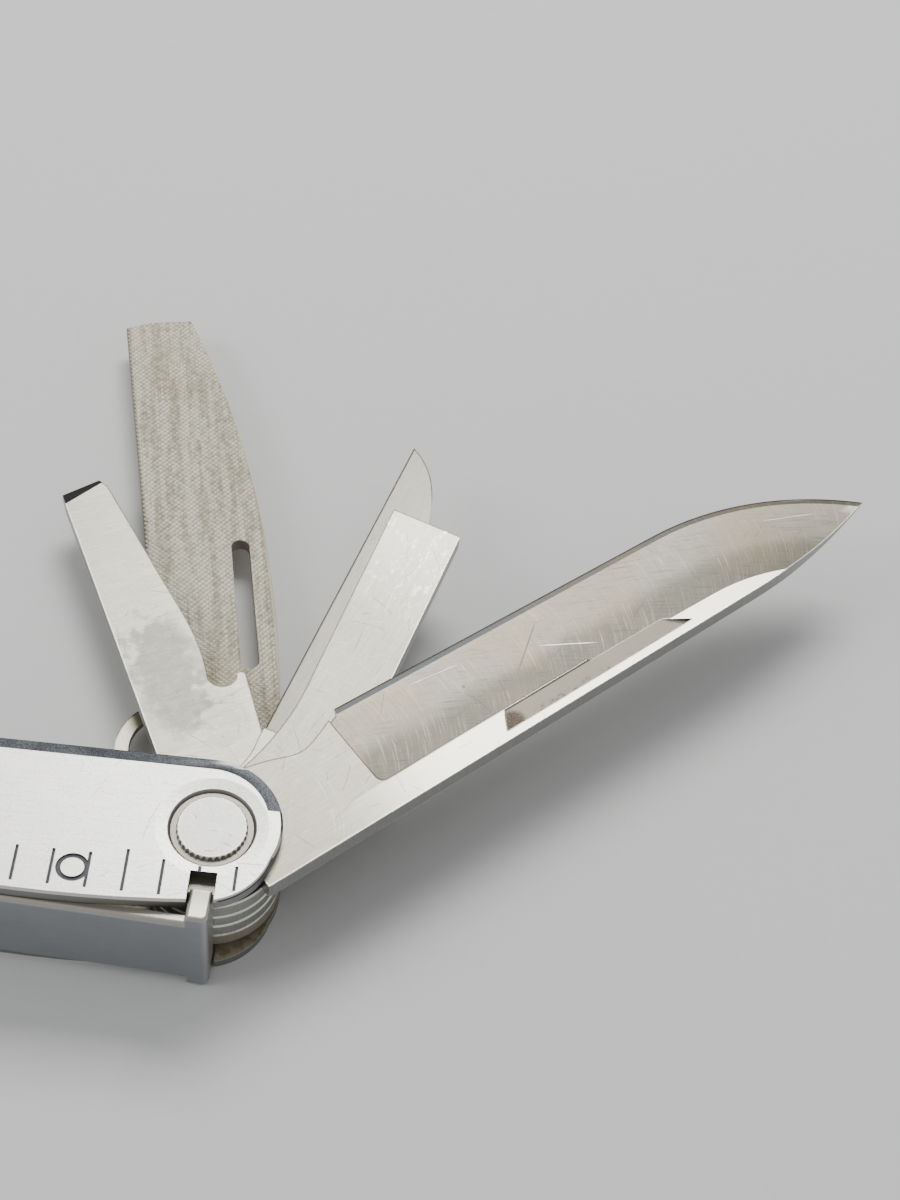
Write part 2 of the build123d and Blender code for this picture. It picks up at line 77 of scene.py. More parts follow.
def tone(red, green, blue):
    """A colour from its 0 to 255 display values."""
    def straight(value):
        share = value / 255
        return share / 12.92 if share <= 0.04045 else ((share + 0.055) / 1.055) ** 2.4
    return (straight(red), straight(green), straight(blue), 1.0)


class Signal:
    """A socket of a finish; arithmetic on it adds Math nodes."""

    def __init__(self, finish, socket):
        self.finish = finish
        self.socket = socket

    def maths(self, operation, first, second=None):
        terms = {0: first} if second is None else {0: first, 1: second}
        return self.finish.add("ShaderNodeMath", {"operation": operation}, terms)

    def __add__(self, other):
        return self.maths("ADD", self, other)

    def __radd__(self, other):
        return self.maths("ADD", other, self)

    def __sub__(self, other):
        return self.maths("SUBTRACT", self, other)

    def __rsub__(self, other):
        return self.maths("SUBTRACT", other, self)

    def __mul__(self, other):
        return self.maths("MULTIPLY", self, other)

    def __rmul__(self, other):
        return self.maths("MULTIPLY", other, self)

    def __truediv__(self, other):
        return self.maths("DIVIDE", self, other)

    def __abs__(self):
        return self.maths("ABSOLUTE", self)

    def __pow__(self, other):
        return self.maths("POWER", self, other)

    def highest(self, other):
        return self.maths("MAXIMUM", self, other)

    def lowest(self, other):
        return self.maths("MINIMUM", self, other)


EDGE_ROUNDING = 0.1 * MM
# how far the wide edge mask reaches: it serves edge wear and the painted edge shade and highlight
EDGE_WEAR_AND_PAINTED_LIGHT_RADIUS = 0.28 * MM


class Finish:
    """A procedural material on a piece's own coordinates, in millimetres."""

    def __init__(self, name, metallic=1.0, roughness=0.4, **constants):
        self.material = bpy.data.materials.new(name)
        self.material.use_nodes = True
        self.tree = self.material.node_tree
        self.shader = self.tree.nodes["Principled BSDF"]
        self.shader.inputs["Metallic"].default_value = metallic
        self.shader.inputs["Roughness"].default_value = roughness
        for socket, value in constants.items():
            self.shader.inputs[socket.replace("_", " ")].default_value = value
        self.source = self.tree.nodes.new("ShaderNodeTexCoord")
        self.place = self.add(
            "ShaderNodeVectorMath", {"operation": "SCALE"},
            {0: Signal(self, self.source.outputs["Object"]), "Scale": 1 / MM})
        self.normal = Signal(self, self.source.outputs["Normal"])
        self.rounded = self.add("ShaderNodeBevel", {"samples": 4}, {"Radius": EDGE_ROUNDING})
        sharp = self.add("ShaderNodeNewGeometry", {}, {}, out=3)
        wide = self.add("ShaderNodeBevel", {"samples": 6}, {"Radius": EDGE_WEAR_AND_PAINTED_LIGHT_RADIUS})
        likeness = self.add("ShaderNodeVectorMath", {"operation": "DOT_PRODUCT"}, {0: wide, 1: sharp}, out=1)
        self.at_edge = self.rise(1 - likeness, 0.002, 0.035)
        to_piece = {"vector_type": "NORMAL", "convert_from": "WORLD", "convert_to": "OBJECT"}
        _, lean, _ = self.parts(self.add("ShaderNodeVectorTransform", to_piece, {0: wide}))
        # edges leaning back get a painted shade line, edges leaning to the front a painted highlight
        self.back_edge_shade = self.at_edge * self.rise(lean, 0.02, 0.08)
        self.front_edge_highlight = self.at_edge * self.rise(lean, -0.12, -0.03, 1.0, 0.0)

    def add(self, kind, settings, sockets, out=0):
        """Adds a node: its settings first, then the values or links of its sockets."""
        node = self.tree.nodes.new(kind)
        for name, value in settings.items():
            if name == "stops":
                ramp = node.color_ramp
                for _ in range(len(value) - 2):
                    ramp.elements.new(0.5)
                for element, (position, colour) in zip(ramp.elements, value):
                    element.position, element.color = position, colour
            else:
                setattr(node, name, value)
        for key, value in sockets.items():
            socket = node.inputs[key]
            if isinstance(value, Signal):
                self.tree.links.new(value.socket, socket)
            else:
                socket.default_value = value
        return Signal(self, node.outputs[out])

    def parts(self, vector):
        """The x, y and z of a vector."""
        return [self.add("ShaderNodeSeparateXYZ", {}, {0: vector}, out) for out in range(3)]

    def join(self, x, y, z):
        return self.add("ShaderNodeCombineXYZ", {}, {0: x, 1: y, 2: z})

    def moved(self, vector, shift=(0, 0, 0), turn=0.0, stretch=(1, 1, 1)):
        """A vector shifted, then turned about z by so many degrees, then stretched."""
        turned = self.add(
            "ShaderNodeVectorRotate", {"rotation_type": "Z_AXIS"},
            {"Vector": self.add("ShaderNodeVectorMath", {"operation": "ADD"}, {0: vector, 1: shift}),
             "Angle": math.radians(turn)})
        return self.add("ShaderNodeVectorMath", {"operation": "MULTIPLY"}, {0: turned, 1: stretch})

    def noise(self, vector, scale, detail=2.0, rough=0.5, warp=0.0):
        return self.add(
            "ShaderNodeTexNoise", {"noise_dimensions": "3D"},
            {"Vector": vector, "Scale": scale, "Detail": detail, "Roughness": rough, "Distortion": warp})

    def rise(self, value, low, high, bottom=0.0, top=1.0):
        """A smooth step from bottom to top as the value goes from low to high."""
        return self.add(
            "ShaderNodeMapRange", {"interpolation_type": "SMOOTHSTEP"},
            {0: value, 1: low, 2: high, 3: bottom, 4: top})

    def mixed(self, share, first, second, blend="MIX"):
        """Two colours mixed."""
        settings = {"data_type": "RGBA", "blend_type": blend, "clamp_factor": True}
        return self.add("ShaderNodeMix", settings, {0: share, 6: first, 7: second}, out=2)

    def dashes(self, vector, cell, length, width, seed=0.0):
        """Short, slightly bowed scratches: one in each cell, at its own angle and length."""
        shifted = self.moved(vector, shift=(seed, 2 * seed, 0), stretch=(1 / cell, 1 / cell, 0))
        cells = {"feature": "F1", "voronoi_dimensions": "2D"}
        colour = self.add("ShaderNodeTexVoronoi", cells, {"Vector": shifted, "Scale": 1.0}, out=1)
        centre = self.add("ShaderNodeTexVoronoi", cells, {"Vector": shifted, "Scale": 1.0}, out=2)
        red, green, blue = self.parts(colour)
        gap = self.add("ShaderNodeVectorMath", {"operation": "SUBTRACT"}, {0: shifted, 1: centre})
        flat = self.add("ShaderNodeVectorRotate", {"rotation_type": "Z_AXIS"},
                        {"Vector": gap, "Angle": red * math.tau})
        along, across, _ = self.parts(flat)
        bow = along * along * (green - 0.5) * 0.4
        thin = self.rise(abs(across - bow), 0.3 * width / cell, width / cell, 1.0, 0.0)
        reach = green * green * (0.6 * length / cell) + 0.1 * length / cell
        return thin * self.rise(abs(along) - reach, -0.05, 0.03, 1.0, 0.0) * self.rise(blue, 0.1, 0.9)

    def line(self, x, y, start, end, width, soft=0.5):
        """A straight mark from one point to another, in a tool's own frame."""
        (x0, y0), (x1, y1) = start, end
        length = math.hypot(x1 - x0, y1 - y0)
        ux, uy = (x1 - x0) / length, (y1 - y0) / length
        along = (x - (x0 + x1) / 2) * ux + (y - (y0 + y1) / 2) * uy
        across = abs((y - y0) * ux - (x - x0) * uy)
        ends = self.rise(abs(along), length / 2 - soft, length / 2, 1.0, 0.0)
        return self.rise(across, 0.3 * width, width, 1.0, 0.0) * ends

    def spot(self, x, y, centre, radii, soft=0.4):
        """A soft-edged oval patch."""
        dx = (x - centre[0]) / radii[0]
        dy = (y - centre[1]) / radii[1]
        return self.rise(dx * dx + dy * dy, 1 - soft, 1 + soft, 1.0, 0.0)

    def specks(self, vector, cell, size, seed=0.0):
        """Small round pits or specks, about one to a cell."""
        shifted = self.moved(vector, shift=(seed, seed, 0))
        reach = self.add("ShaderNodeTexVoronoi", {"feature": "F1"}, {"Vector": shifted, "Scale": 1 / cell})
        return self.rise(reach, 0.4 * size / cell, size / cell, 1.0, 0.0)

    def bump(self, height):
        """Relief from a height in millimetres."""
        sockets = {"Strength": 1.0, "Distance": MM, "Height": height, "Normal": self.rounded}
        return self.add("ShaderNodeBump", {}, sockets)

    def wear(self, **links):
        """Links the sockets that vary over the surface."""
        for socket, signal in links.items():
            target = self.shader.inputs[socket.replace("_", " ")]
            self.tree.links.new(signal.socket, target)
        return self.material


def dress(node, material):
    """Gives a CAD node its finish."""
    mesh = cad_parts[node]
    for holder in mesh.material_slots:
        holder.material = material


# ---------------------------------------------------------------- finishes

WALL = 1.25
FAR_PIVOT = -88.9
DISH_LIP = 5.0
WEB_OUTSIDE = -7.7


def handle_finish():
    """Satin, lightly blasted stainless steel: pale on the walls; painted shade on the sloped rims, dark,
    bluish and mottled, with a painted highlight where they face the front.
    """
    steel = Finish("satin_handle_steel", roughness=0.38)
    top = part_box("handle_channel")[1].z / MM
    x, y, z = steel.parts(steel.place)
    _, side, up = steel.parts(steel.normal)
    flat = steel.rise(abs(up), 0.975, 0.995)
    grain = steel.noise(steel.place, 7.0, 3.0, 0.65)
    cloud = steel.noise(steel.place, 0.16, 4.0, 0.6)
    brushed = steel.noise(steel.moved(steel.place, stretch=(0.25, 6, 6)), 1.4, 3.0, 0.6)
    marks = steel.dashes(steel.place, 3.4, 4.5, 0.03, 3.0)
    nicks = steel.dashes(steel.place, 2.2, 1.6, 0.04, 11.0)
    pits = steel.specks(steel.place, 2.4, 0.07, 5.0)
    colour = steel.mixed(cloud, tone(222, 221, 213), tone(244, 243, 236))
    colour = steel.mixed(steel.rise(grain, 0.35, 0.7) * 0.4, colour, tone(160, 158, 152))
    colour = steel.mixed(steel.rise(brushed, 0.45, 0.7) * 0.35, colour, tone(184, 182, 174))
    colour = steel.mixed(marks * 0.45, colour, tone(150, 148, 146))
    colour = steel.mixed(nicks * 0.4, colour, tone(250, 248, 240))
    colour = steel.mixed(pits * 0.5, colour, tone(122, 112, 100))
    # painted shade on the sloped rims, dark, bluish and mottled; rims facing the front get a painted
    # highlight instead
    rim_painted_light = steel.mixed(steel.rise(grain + cloud * 0.6, 0.6, 1.1), tone(60, 63, 67), tone(116, 119, 122))
    rim_painted_light = steel.mixed(steel.rise(side, -0.1, 0.05, 1.0, 0.0), rim_painted_light, tone(238, 236, 228))
    walls = steel.mixed(grain, tone(120, 122, 124), tone(160, 160, 158))
    edge_colour = steel.mixed(steel.rise(abs(up), 0.5, 0.75), walls, rim_painted_light)
    near_dish = (x * x + y * y) ** 0.5
    far_dish = ((x - FAR_PIVOT) * (x - FAR_PIVOT) + y * y) ** 0.5
    reach = near_dish.lowest(far_dish)
    in_dish = steel.rise(reach, DISH_LIP - 0.2, DISH_LIP + 0.2, 1.0, 0.0)
    # round the dish: painted shade on its steep wall and a painted highlight on its gentler slope
    ring = steel.mixed(steel.rise(abs(up), 0.4, 0.8), tone(120, 118, 112), tone(236, 232, 222))
    edge_colour = steel.mixed(in_dish, edge_colour, ring)
    colour = steel.mixed(flat, edge_colour, colour)
    # a painted highlight along the flat's edges that face the front
    colour = steel.mixed(steel.front_edge_highlight * flat * 0.7, colour, tone(252, 251, 246))
    # painted shade on the dish floor close round the pivot, brownish and mottled
    dish_floor_shade = steel.rise(reach, 3.72, 3.86, 1.0, 0.0)
    colour = steel.mixed(dish_floor_shade * 0.85, colour, steel.mixed(grain, tone(92, 88, 80), tone(140, 134, 120)))
    # painted shade in the engraved ruler marks: they are filled dark and bluish; the marks are also rougher
    depth = top - z
    cut = steel.rise(depth, 0.1, 0.14) * steel.rise(depth, 0.25, 0.3, 1.0, 0.0) * steel.rise(reach, 3.9, 4.0)
    cut = cut * steel.rise(y, -2.5, -2.3, 1.0, 0.0) * steel.rise(y, -7.25, -7.15)
    colour = steel.mixed(cut * 0.9, colour, tone(52, 54, 62))
    # the channel's inner faces: darker and warmer, with brown mottling
    inside = steel.rise(abs(z - top / 2), top / 2 - WALL + 0.01, top / 2 - WALL + 0.06, 1.0, 0.0)
    inside = inside * steel.rise(y, WEB_OUTSIDE + 0.05, WEB_OUTSIDE + 0.15)
    inner_mottle = steel.rise(steel.noise(steel.place, 0.9, 4.0, 0.7), 0.45, 0.65)
    inner = steel.mixed(inner_mottle * 0.5, tone(196, 190, 172), tone(110, 92, 68))
    colour = steel.mixed(inside, colour, inner)
    height = grain * 0.008 + brushed * 0.004 - marks * 0.008 - nicks * 0.008 - pits * 0.02
    rough = 0.3 + grain * 0.16 + cloud * 0.08 + cut * 0.2
    return steel.wear(Base_Color=colour, Roughness=rough, Normal=steel.bump(height))


# how far each tool stands from fully open, in degrees
TOOL_ANGLES = {
    "main_blade": 41.2, "flat_driver": 70.0, "pen_blade": 72.0,
    "cap_lifter": 111.0, "file_blade": 101.0, "lanyard_ring": 113.0,
}


class ToolFinish(Finish):
    """Satin-ground tool steel in a tool's own frame: x along it from the pivot, y across it."""

    def __init__(self, name, node, pale, deep, gloss=0.3, grain_turn=0.0, metallic=1.0):
        super().__init__(name, metallic, 0.35)
        low, high = (corner.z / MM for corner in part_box(node))
        self.own = self.moved(self.place, turn=-TOOL_ANGLES[node])
        self.x, self.y, self.z = self.parts(self.own)
        self.across_plate = abs(self.z - (low + high) / 2)
        self.half = (high - low) / 2
        _, _, up = self.parts(self.normal)
        self.up = abs(up)
        self.grain = self.noise(self.moved(self.own, turn=grain_turn, stretch=(0.12, 5, 5)), 3.0, 4.0, 0.7)
        self.fine = self.noise(self.own, 12.0, 2.0, 0.6)
        self.cloud = self.noise(self.own, 0.13, 5.0, 0.62, 0.4)
        marks = self.dashes(self.own, 2.6, 4.0, 0.022, 2.0)
        hairs = self.dashes(self.own, 1.7, 2.2, 0.018, 9.0)
        pits = self.specks(self.own, 2.2, 0.06, 4.0)
        self.colour = self.mixed(self.cloud, pale, deep)
        self.tint(self.rise(self.grain, 0.4, 0.75) * 0.35, tone(104, 101, 91))
        self.tint(self.rise(self.grain, 0.25, 0.45, 1.0, 0.0) * 0.3, tone(196, 193, 181))
        self.tint(self.rise(self.fine, 0.4, 0.7) * 0.25, tone(96, 93, 84))
        self.tint(marks * 0.5, tone(84, 79, 70))
        self.tint(hairs * 0.5, tone(224, 220, 208))
        self.tint(pits * 0.5, tone(96, 86, 76))
        self.height = self.grain * 0.004 + self.fine * 0.003 - marks * 0.006 - hairs * 0.003 - pits * 0.015
        self.rough = gloss + self.fine * 0.08 + self.grain * 0.08

    def tint(self, share, colour):
        self.colour = self.mixed(share, self.colour, colour)

    def turning_marks(self, strength):
        """Rings rubbed round the pivot by the neighbouring tangs."""
        radius = (self.x * self.x + self.y * self.y) ** 0.5
        ring = self.noise(self.join(radius * 5.0, 0.0, 0.0), 1.0, 2.0, 0.7)
        rubbed = self.rise(ring, 0.55, 0.68) * self.rise(radius, 6.5, 12.5, 1.0, 0.0)
        broken = self.rise(self.noise(self.own, 0.35, 2.0, 0.5), 0.42, 0.56)
        self.tint(rubbed * broken * strength, tone(150, 145, 134))
        self.tint(self.rise(ring, 0.3, 0.42, 1.0, 0.0) * broken * strength * 0.6, tone(236, 232, 220))

    def edges_dressed(self, side_low=(142, 145, 143), side_high=(186, 187, 182), rims=1.0):
        """Adds the sheared side faces, a painted highlight on their rims and on the chamfers, and along the
        flats a painted shade line on back edges and a painted highlight on front edges.
        """
        shear = self.noise(self.moved(self.own, stretch=(5, 5, 0.5)), 1.2, 3.0, 0.6)
        sides = self.mixed(shear, tone(*side_low), tone(*side_high))
        # painted highlight along the side faces' rims
        rim_highlight = self.rise(self.across_plate, self.half - 0.1, self.half - 0.04)
        sides = self.mixed(rim_highlight * 0.8, sides, tone(236, 233, 222))
        self.colour = self.mixed(self.rise(self.up, 0.35, 0.5), sides, self.colour)
        # painted highlight on the chamfers
        chamfer_highlight = self.rise(self.up, 0.5, 0.6) * self.rise(self.up, 0.8, 0.88, 1.0, 0.0)
        self.tint(chamfer_highlight * rims, tone(250, 248, 238))
        flat = self.rise(self.up, 0.9, 0.95) * rims
        # painted shade line on back edges, painted highlight on front edges
        self.tint(self.back_edge_shade * flat * 0.95, tone(48, 45, 39))
        self.tint(self.front_edge_highlight * flat * 0.6, tone(240, 237, 226))
        return self.wear(Base_Color=self.colour, Roughness=self.rough, Normal=self.bump(self.height))


# the rounded corner where the knife's grind begins, in its own frame
GRIND_CORNER = (16.3, -3.4)
GRIND_CORNER_RADIUS = 0.8
# the knife's longest scratches: start, end, width and colour
KNIFE_MARKS = (
    ((39.4, 2.6), (33.6, -1.6), 0.1, (72, 66, 58)),
    ((42.6, -3.3), (37.2, 0.1), 0.07, (232, 228, 218)),
    ((62.0, 2.0), (60.2, -3.5), 0.04, (118, 112, 106)),
    ((30.0, 2.6), (24.0, 3.4), 0.04, (222, 218, 208)),
    ((66.5, -0.6), (72.5, -3.2), 0.035, (232, 228, 218)),
    ((70.0, 0.4), (74.0, -1.8), 0.03, (226, 222, 212)),
)


def knife_finish():
    """The main blade: bright flats, a duller hollow grind full of fine curved scratches."""
    steel = ToolFinish("ground_knife_steel", "main_blade", tone(140, 137, 123), tone(122, 119, 107), 0.27)
    x, y = steel.x, steel.y
    steel.turning_marks(0.55)
    ground = steel.rise(steel.up, 0.9985, 0.9996, 1.0, 0.0) * steel.rise(steel.up, 0.9, 0.93)
    steel.tint(ground * 0.9, tone(118, 115, 105))
    # painted shade on the steeper part of the grind
    steep_grind_shade = steel.rise(steel.up, 0.9935, 0.9965, 1.0, 0.0) * ground
    steel.tint(steep_grind_shade * 0.7, tone(78, 76, 68))
    bent = steel.join(x + y * y * 0.05, y, 0.0)
    swirl = steel.noise(steel.moved(bent, turn=14, stretch=(7, 0.18, 1)), 1.0, 4.0, 0.75)
    sweep = steel.noise(steel.moved(bent, turn=-62, stretch=(6, 0.2, 1)), 1.0, 4.0, 0.75)
    patchy = steel.rise(steel.noise(steel.own, 0.2, 2.0, 0.5), 0.4, 0.6)
    steel.tint(ground * steel.rise(swirl, 0.5, 0.72) * (0.22 + patchy * 0.33), tone(176, 171, 157))
    steel.tint(ground * steel.rise(sweep, 0.5, 0.7) * (0.65 - patchy * 0.4), tone(66, 62, 54))
    tan = steel.rise(steel.noise(steel.own, 0.1, 3.0, 0.5), 0.42, 0.62)
    steel.tint(ground * tan * 0.25, tone(124, 104, 80))
    keen = steel.rise(steel.up, 0.986, 0.9895, 1.0, 0.0) * steel.rise(steel.up, 0.93, 0.95)
    keen = keen * steel.rise(y, -3.4, -3.1)
    clip_side = steel.rise(x, 64.0, 66.0) * steel.rise(y + x * 0.25, 15.0, 15.3, 1.0, 0.0)
    steel.tint(keen * (1 - clip_side) * steel.rise(x, 30.0, 56.0, 0.85, 0.1), tone(84, 88, 90))
    bright = steel.rise(y, -4.4, -4.1, 1.0, 0.0) * (1 - ground) * steel.rise(x, 9.0, 24.0)
    steel.tint(bright * 0.8, tone(212, 209, 196))
    beyond_x, beyond_y = GRIND_CORNER[0] - x, GRIND_CORNER[1] - y
    corner_x, corner_y = beyond_x.highest(0.0), beyond_y.highest(0.0)
    inner = beyond_x.highest(beyond_y).lowest(0.0)
    edge = (corner_x * corner_x + corner_y * corner_y) ** 0.5 + inner - GRIND_CORNER_RADIUS
    # a painted shade line along the plunge where the grind begins
    line = steel.rise(abs(edge), 0.05, 0.14, 1.0, 0.0) * steel.rise(x, 17.5, 24.0, 1.0, 0.0)
    line = line * steel.rise(y, 4.2, 5.0, 1.0, 0.0)
    steel.tint(line * 0.8, tone(74, 66, 60))
    rust = steel.rise(edge, -0.6, -0.05) * steel.rise(edge, 0.0, 0.05, 1.0, 0.0)
    rust = rust * steel.rise(x, 17.0, 19.0, 1.0, 0.0)
    steel.tint(rust * steel.rise(y, -3.0, 0.0) * 0.35, tone(160, 122, 104))
    sunk = steel.rise(steel.across_plate - steel.half, -0.06, -0.03, 1.0, 0.0)
    sunk = sunk * steel.rise(y, -3.9, -3.7, 1.0, 0.0)
    # the nail groove's sloped floor gets a painted highlight, lighter and warm
    floor = sunk * steel.rise(steel.up, 0.8, 0.9) * steel.rise(steel.up, 0.975, 0.984, 1.0, 0.0)
    steel.tint(floor, steel.mixed(steel.cloud, tone(204, 196, 178), tone(178, 170, 150)))
    # a painted shade line along the groove's lower wall
    steel.tint(floor * steel.rise(y, -6.25, -6.05, 1.0, 0.0) * 0.85, tone(96, 84, 70))
    # painted shadow at the nail groove's left end, broken up by fine noise
    groove_end_shadow = steel.spot(x, y, (29.2, -5.7), (1.9, 1.2)) * steel.rise(steel.fine, 0.2, 0.5) * sunk
    crumbs = floor * steel.rise(abs(y + 6.0), 0.1, 0.5, 1.0, 0.0) * steel.rise(x, 29.0, 30.0)
    crumbs = crumbs * steel.rise(x, 40.0, 50.0, 1.0, 0.0)
    crumbs = crumbs * steel.rise(steel.noise(steel.own, 1.3, 3.0, 0.7), 0.52, 0.66)
    steel.tint(groove_end_shadow * 0.85, tone(84, 68, 56))
    steel.tint(crumbs * 0.6, tone(110, 92, 74))
    for start, end, width, shade in KNIFE_MARKS:
        steel.tint(steel.line(x, y, start, end, width, 1.5) * 0.7, tone(*shade))
    pit = steel.spot(x, y, (28.5, 0.2), (0.16, 0.16))
    steel.tint(pit * 0.8, tone(80, 76, 72))
    steel.height = steel.height + ground * (swirl + sweep) * 0.006
    steel.rough = steel.rough + ground * 0.05
    return steel.edges_dressed((132, 135, 134), (168, 170, 167))


def pen_finish():
    """The small blade, with fine lengthwise grinding lines."""
    steel = ToolFinish("ground_pen_steel", "pen_blade", tone(168, 165, 151), tone(150, 147, 134))
    ground = steel.rise(steel.up, 0.985, 0.997, 1.0, 0.0) * steel.rise(steel.up, 0.9, 0.93)
    lines = steel.noise(steel.moved(steel.own, turn=8, stretch=(6, 0.2, 1)), 1.0, 3.0, 0.7)
    steel.tint(ground * steel.rise(lines, 0.45, 0.75) * 0.4, tone(150, 147, 136))
    steel.turning_marks(0.4)
    return steel.edges_dressed()


def driver_finish():
    """The flat driver: scuffed bright towards its square end."""
    steel = ToolFinish(
        "satin_driver_steel", "flat_driver", tone(148, 145, 132), tone(128, 125, 113), grain_turn=4)
    end = steel.rise(steel.x, 27.0, 42.0)
    smeared = steel.noise(steel.moved(steel.own, stretch=(1.0, 2.2, 1)), 0.8, 5.0, 0.7, 0.6)
    scuffs = steel.rise(smeared, 0.52, 0.66)
    steel.tint(end * 0.4, tone(206, 204, 194))
    steel.tint(end * scuffs * 0.6, tone(244, 242, 233))
    dents = steel.dashes(steel.own, 2.0, 2.4, 0.06, 21.0) * steel.rise(steel.x, 20.0, 38.0)
    steel.tint(dents * 0.5, tone(250, 247, 238))
    steel.height = steel.height - dents * 0.01 + scuffs * end * 0.006
    steel.turning_marks(0.4)
    return steel.edges_dressed()


def lifter_finish():
    """The cap lifter: a faint water stain over its middle, a dark ground tip."""
    steel = ToolFinish(
        "stained_lifter_steel", "cap_lifter", tone(166, 163, 150), tone(150, 147, 134), grain_turn=85)
    x, y = steel.x, steel.y
    warped = steel.noise(steel.own, 0.55, 4.0, 0.6)
    region = steel.spot(x + (warped - 0.5) * 9.0, y + (warped - 0.5) * 7.0, (21.5, -0.9), (7.0, 3.2), 0.5)
    freckles = steel.rise(steel.noise(steel.own, 0.9, 4.0, 0.65), 0.5, 0.6, 1.0, 0.25)
    steel.tint(region * freckles * 0.3, tone(118, 118, 110))
    lower = steel.spot(x + (warped - 0.5) * 4.0, y, (15.5, -4.6), (3.4, 2.6), 0.3)
    steel.tint(lower * freckles * 0.3, tone(112, 110, 100))
    stain = steel.spot(x, y, (35.5, 1.8), (1.6, 1.0), 0.8) * freckles
    steel.tint(stain * 0.3, tone(160, 157, 144))
    facet = steel.rise(steel.up, 0.975, 0.99, 1.0, 0.0) * steel.rise(steel.up, 0.9, 0.93)
    steel.tint(facet, tone(62, 62, 60))
    second = steel.rise((x - 44.8) + (y - 2.0) * 0.1, 0.0, 0.15)
    steel.tint(second * (1 - facet) * 0.5, tone(158, 155, 144))
    steel.rough = steel.rough + region * 0.1
    steel.turning_marks(0.35)
    return steel.edges_dressed()


def file_finish():
    """Cut teeth: worn, lighter points over valleys darkened with painted shade and a brownish tint."""
    steel = ToolFinish(
        "cut_file_steel", "file_blade", tone(255, 252, 232), tone(250, 244, 220), 0.42, metallic=0.5)
    point = steel.rise(steel.across_plate, steel.half - 0.15, steel.half - 0.1)
    # the valleys between the teeth: painted shade with a brownish tint
    valley_shade = steel.mixed(steel.cloud, tone(122, 115, 96), tone(162, 155, 134))
    worn = steel.noise(steel.own, 1.6, 2.0, 0.5)
    streak = steel.noise(steel.moved(steel.own, stretch=(0.1, 1.2, 1)), 1.0, 2.0, 0.5)
    point = point * (0.3 + steel.rise(worn, 0.35, 0.6) * 0.45 + steel.rise(streak, 0.4, 0.6) * 0.45)
    steel.colour = steel.mixed(point, valley_shade, steel.colour)
    soot = steel.rise(steel.noise(steel.own, 0.14, 3.0, 0.6), 0.5, 0.68)
    steel.tint(soot * 0.2, tone(150, 134, 98))
    return steel.edges_dressed((120, 116, 104), (158, 152, 136), 0.0)


def ring_finish():
    """The lanyard ring: stamped, a little brown from the pocket."""
    steel = ToolFinish("worn_ring_steel", "lanyard_ring", tone(188, 184, 168), tone(160, 154, 134))
    brown = steel.rise(steel.noise(steel.own, 0.5, 4.0, 0.65), 0.5, 0.68)
    steel.tint(brown * 0.4, tone(140, 122, 96))
    return steel.edges_dressed()


def knob_finish(name, pale, deep):
    """Turned, softly worn round pieces, with a painted highlight on their sloped faces."""
    steel = Finish(name, roughness=0.35)
    _, _, up = steel.parts(steel.normal)
    fine = steel.noise(steel.place, 5.0, 4.0, 0.65)
    broad = steel.noise(steel.place, 0.9, 3.0, 0.6)
    marks = steel.dashes(steel.place, 1.3, 1.4, 0.03, 7.0)
    pits = steel.specks(steel.place, 0.8, 0.05, 3.0)
    colour = steel.mixed(fine, deep, pale)
    colour = steel.mixed(steel.rise(broad, 0.45, 0.65) * 0.3, colour, deep)
    colour = steel.mixed(marks * 0.4, colour, tone(120, 118, 112))
    colour = steel.mixed(pits * 0.5, colour, tone(110, 100, 84))
    # painted highlight on the sloped faces
    slope_highlight = steel.rise(abs(up), 0.5, 0.6) * steel.rise(abs(up), 0.85, 0.95, 1.0, 0.0)
    colour = steel.mixed(slope_highlight * 0.8, colour, tone(240, 238, 230))
    colour = steel.mixed(steel.at_edge * 0.6, colour, tone(248, 246, 238))
    height = fine * 0.012 - marks * 0.01 - pits * 0.015
    return steel.wear(Base_Color=colour, Roughness=0.32 + fine * 0.16, Normal=steel.bump(height))


